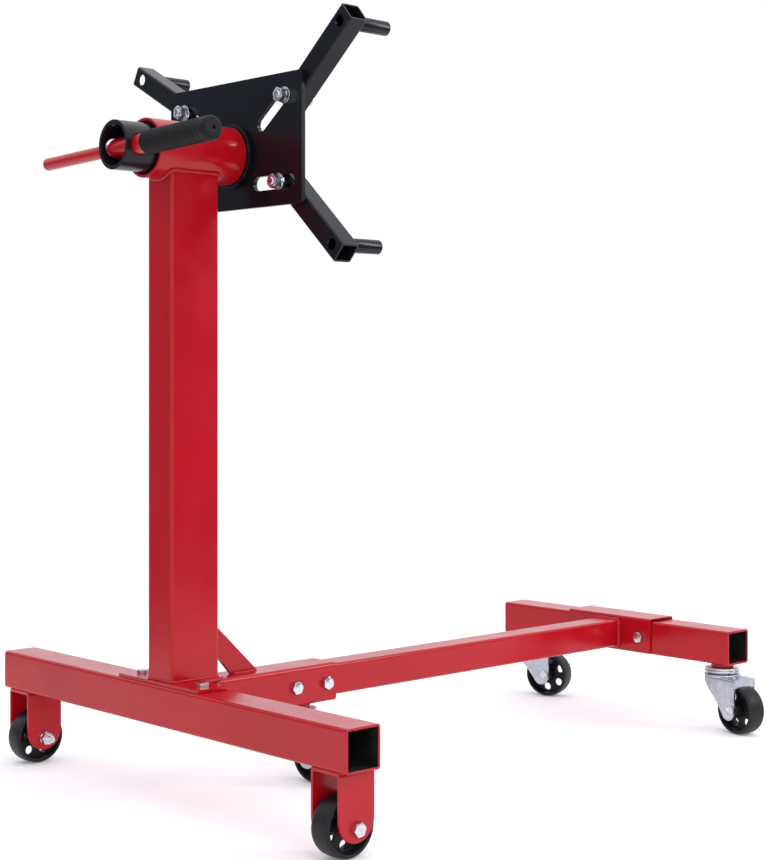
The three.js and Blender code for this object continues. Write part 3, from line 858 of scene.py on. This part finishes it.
# ------------------------------------------------------------------ head
slide_at = joint_place("handle_slide")
slide_axis = Vector(joints["handle_slide"]["axis"])
tilt = math.degrees(math.asin(slide_axis.z))
handle = shift(0, slide_at.y, slide_at.z) @ turn("Y", -tilt)
tube_low, tube_high = local_box("turning_tube")
head_axis = shift(0, 0, AXIS_Z) @ ALONG_Y
turning = moved(pipe(TUBE_R, TUBE_R - TUBE_WALL, tube_low.y, tube_high.y, 0.7, 96), head_axis)
thin_hole = moved(rod(THIN_HOLE_R, -60, 0, 0.1, 48),
                  shift(0, 0, THIN_HOLE_RISE) @ handle @ ALONG_X)
wide_hole = moved(rod(WIDE_HOLE_R, 0, 60, 0.1, 64), handle @ ALONG_X)
turning = boolean(boolean(turning, thin_hole), wide_hole)
place("turning_tube_pipe", turning, BLACK, "head", ["turning_tube"], bevel=0.35)

collar_low, collar_high = local_box("thrust_collar")
collar = pipe(COLLAR_R, TUBE_R + 0.4, collar_low.y, collar_high.y, 0.8, 96)
place("thrust_collar_ring", collar, BLACK, "head", ["thrust_collar"], head_axis)

plate_low, plate_high = local_box("head_plate")
outline = rounded([(plate_low.x, plate_low.z), (plate_high.x, plate_low.z),
                   (plate_high.x, plate_high.z), (plate_low.x, plate_high.z)], 2.5, 5)


def slot_loop(side, x, z, angle, length):
    """Round-ended slot from x, z outwards, seen from behind with X to the right."""
    heading = angle if side > 0 else 180 - angle
    flat = arc(0, 0, SLOT_HALF, 90, 270, 14) + arc(length, 0, SLOT_HALF, -90, 90, 14)
    spin = math.radians(heading)
    return [(side * x + a * math.cos(spin) - b * math.sin(spin),
             AXIS_Z + z + a * math.sin(spin) + b * math.cos(spin)) for a, b in flat]


slots = []
for side in (1, -1):
    slots.append(slot_loop(side, x=56.7, z=35.4, angle=36.6, length=56))
    slots.append(slot_loop(side, x=49.5, z=-38.3, angle=0, length=62.2))
plate = prism([outline] + slots, -plate_high.y, -plate_low.y)
place("head_plate_slab", plate, BLACK, "head", ["head_plate"], turn("X", 90), bevel=0.5)

# ------------------------------------------------------------------ arms
arm_rear = local_box("arm_upper_right")[0].y
arm_front = arm_rear + ARM
arm_mid = (arm_rear + arm_front) / 2
finger_low, finger_high = local_box("finger_upper_right")
at_finger = shift(ARM_REACH, 0, 0) @ ALONG_Y
arm = moved(square_tube(ARM, ARM, ARM_WALL, ARM_CORNER, ARM_TAIL + ARM_REACH + ARM_TIP),
            shift(-ARM_TAIL, arm_mid, 0) @ ALONG_X)
arm = boolean(arm, moved(rod(ARM_BOLT_R + 0.5, 0, 300, 0.1, 40), ALONG_Y))
arm = boolean(arm, moved(rod(FINGER_SEAT_R, 0, arm_mid, 0.1, 40), at_finger))
arm = boolean(arm, moved(rod(FINGER_BORE_R, arm_mid, 300, 0.1, 40), at_finger))
finger = moved(pipe(FINGER_R, FINGER_BORE_R, finger_low.y, finger_high.y, 0.5, 56), at_finger)
finger_ring = [(ARM_REACH + x, finger_low.y, z) for x, z in circle(FINGER_R + 0.2, 48)]
tail_y = local_box("arm_bolt_upper_right")[0].y
arm_bolt = joined(
    hex_block(ARM_BOLT_FLATS, arm_front + 0.3, arm_front + 6.7, False, True),
    rod(ARM_BOLT_R, plate_low.y - 3, arm_front + 4, 0.1, 32),
    flip_z(thread(ARM_BOLT_R, 2 - plate_low.y, -tail_y)),
)
washer_y, lock_y, nut_y = plate_low.y - 0.3, plate_low.y - 2.1, plate_low.y - 4.6
arm_nut = joined(
    washer(10.5, ARM_BOLT_R + 0.4, lock_y, washer_y),
    spring_washer(9.4, ARM_BOLT_R + 0.4, nut_y, lock_y),
    boolean(hex_block(ARM_BOLT_FLATS, nut_y - 8, nut_y, True, True),
            rod(ARM_BOLT_R - 0.1, 0, 300, 0.1, 32)),
)
for label in ("upper_right", "upper_left", "lower_right", "lower_left"):
    at = joint_place(f"swing_{label}")
    low, high = local_box(f"finger_{label}")
    centre = (low + high) / 2
    angle = math.degrees(math.atan2(centre.z - at.z, centre.x - at.x))
    seat = shift(at.x, 0, at.z) @ turn("Y", -angle)
    swing, clamp = f"swing_{label}", f"clamp_{label}"
    place(f"arm_{label}_tube", arm, BLACK, swing, [f"arm_{label}"], seat, bevel=0.4)
    place(f"finger_{label}_pipe", finger, BLACK, swing, [f"finger_{label}"], seat)
    place(f"weld_finger_{label}", bead(finger_ring, 1.3), BLACK, swing, matrix=seat, crisp=80)
    place(f"arm_bolt_{label}_set", arm_bolt, ZINC, clamp, [f"arm_bolt_{label}"],
          seat @ ALONG_Y)
    place(f"arm_nut_{label}_set", arm_nut, ZINC, clamp, [f"arm_nut_{label}"],
          seat @ ALONG_Y)

# ------------------------------------------------------------------ handle
bar_profile = [(0, -BAR_END), (BAR_R - 1.8, -BAR_END), (BAR_R, -BAR_END + 2.2),
               (BAR_R, SLEEVE_START - 1.2), (BAR_R, SLEEVE_START), (SLEEVE_R - 1, SLEEVE_START),
               (SLEEVE_R, SLEEVE_START + 1.2), (SLEEVE_R, GRIP_START - 0.4),
               (BAR_R, GRIP_START - 0.4), (BAR_R, BAR_END - 5), (0, BAR_END - 5)]
place("handle_bar_rod", lathe(rounded(bar_profile, 1.2, 5, closed=False), 64), RED, "handle",
      ["handle_bar"], handle @ ALONG_X)

grip_bore = BAR_R + 0.3
grip_profile = [(grip_bore, GRIP_START), (GRIP_R - 0.6, GRIP_START), (GRIP_R, GRIP_START + 0.8)]
for i in range(RIBS):
    x = GRIP_START + 3 + i * RIB_PITCH
    grip_profile += [(GRIP_R, x), (GRIP_R - 1.2, x + 0.5), (GRIP_R - 1.2, x + 1.3),
                     (GRIP_R - 0.1, x + 1.8)]
grip_profile += [(GRIP_R - 0.1, BAR_END - 17), (GRIP_R - 1.1, BAR_END - 15.5),
                 (GRIP_R, BAR_END - 13.5)]
grip_profile += [(p, q) for q, p in arc(BAR_END - 5.5, GRIP_R - 5.5, 5.5, 90, 0, 8)]
grip_profile += [(2.2, BAR_END), (2.2, BAR_END - 4), (grip_bore, BAR_END - 4)]
grip = lathe(rounded(grip_profile, 0.35, 2), 64)
place("handle_grip_sleeve", grip, GRIP, "handle", ["handle_grip"], handle @ ALONG_X, crisp=50)

# ------------------------------------------------------------------ stage
floor_edge = circle(1.5, 96)
floor_mesh = bpy.data.meshes.new("floor")
floor_mesh.from_pydata([(x, y, 0) for x, y in floor_edge], [], [range(len(floor_edge))])
floor = bpy.data.objects.new("floor", floor_mesh)
bpy.context.scene.collection.objects.link(floor)
ground = bpy.data.materials.new("studio_floor")
ground.use_nodes = True
paper = ground.node_tree.nodes["Principled BSDF"].inputs
paper["Base Color"].default_value = (0.85, 0.85, 0.85, 1)
paper["Roughness"].default_value = 0.8
paper["Emission Color"].default_value = (0.94, 0.94, 1, 1)
paper["Emission Strength"].default_value = 0.15
floor_mesh.materials.append(ground)

# White room with a grey wall on two opposite sides, which darkens the paint's reflections
WALL_DIRECTION = (0.733, 0.680, 0)
world = bpy.data.worlds.new("studio")
bpy.context.scene.world = world
world.use_nodes = True
sky = world.node_tree
where = sky.nodes.new("ShaderNodeTexCoord")
facing = sky.nodes.new("ShaderNodeVectorMath")
facing.operation = "DOT_PRODUCT"
facing.inputs[1].default_value = WALL_DIRECTION
sky.links.new(where.outputs["Generated"], facing.inputs[0])
aside = sky.nodes.new("ShaderNodeMath")
aside.operation = "ABSOLUTE"
sky.links.new(facing.outputs["Value"], aside.inputs[0])
walls = remap(sky, aside.outputs["Value"], 0, 1, 0.88, 0.96)
room = mix_colour(sky, walls, (1.02, 1.02, 1.08), (0.22, 0.25, 0.31))
sky.links.new(room, sky.nodes["Background"].inputs["Color"])


def softbox(name, at, aim, size, power):
    """Rectangular area light, in metres and watts, turned towards a point."""
    light = bpy.data.lights.new(name, "AREA")
    light.shape = "RECTANGLE"
    light.size, light.size_y = size
    light.energy = power
    lamp = bpy.data.objects.new(name, light)
    lamp.location = at
    lamp.rotation_euler = (Vector(aim) - Vector(at)).to_track_quat("-Z", "Y").to_euler()
    bpy.context.scene.collection.objects.link(lamp)


softbox("strip", (1.9, 1.7, 1.75), (0, 0, 0.75), (0.35, 1.5), 20)
softbox("key", (3.0, -0.9, 2.2), (0, 0, 0.4), (2, 2), 26)
softbox("top", (0, 0, 3.6), (0, 0, 0), (4, 4), 30)

# ------------------------------------------------------------------ camera
camera_data = bpy.data.cameras.new("camera")
camera_data.sensor_width = 36
camera_data.lens = 72.4
camera_data.shift_y = -0.0728
camera = bpy.data.objects.new("camera", camera_data)
camera.location = (1.7375, -1.2552 + SHIFT * MM, 0.5372)
camera.rotation_euler = (math.radians(90), 0, math.radians(47.146))
bpy.context.scene.collection.objects.link(camera)
bpy.context.scene.camera = camera
bpy.context.scene.view_settings.view_transform = "Standard"
